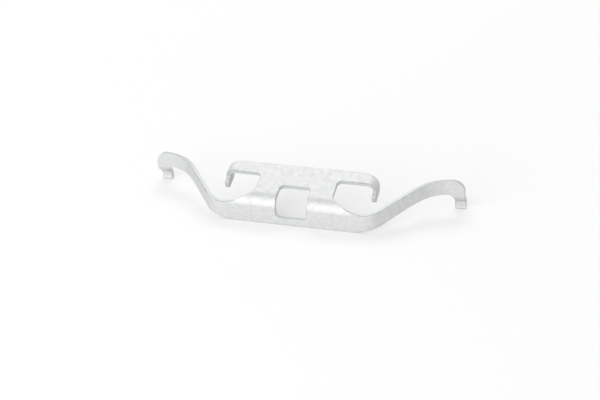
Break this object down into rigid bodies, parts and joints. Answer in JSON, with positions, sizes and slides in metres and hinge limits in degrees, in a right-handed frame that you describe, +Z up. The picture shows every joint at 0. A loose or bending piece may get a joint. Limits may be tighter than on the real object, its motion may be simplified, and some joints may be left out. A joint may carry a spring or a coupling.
{
  "type": "brake caliper spring",
  "caption": "Folded sheet-steel retaining spring for a floating brake caliper, with a windowed T-shaped plate, hooked tongues and long bent arms ending in joggled feet.",
  "frame": {"origin": "on the surface it stands on, under the middle of its bounding box", "axes": "+X along the length, the plane X = 0 is the plane of symmetry; -Y is the front, where the band and its window are; +Z is up"},
  "size_m": [0.154, 0.0336, 0.0195],
  "materials": {
    "zinc_steel": "matte mottled zinc coating on spring steel"
  },
  "bodies": {
    "root": {"spring": "zinc_steel"}
  },
  "joints": []
}
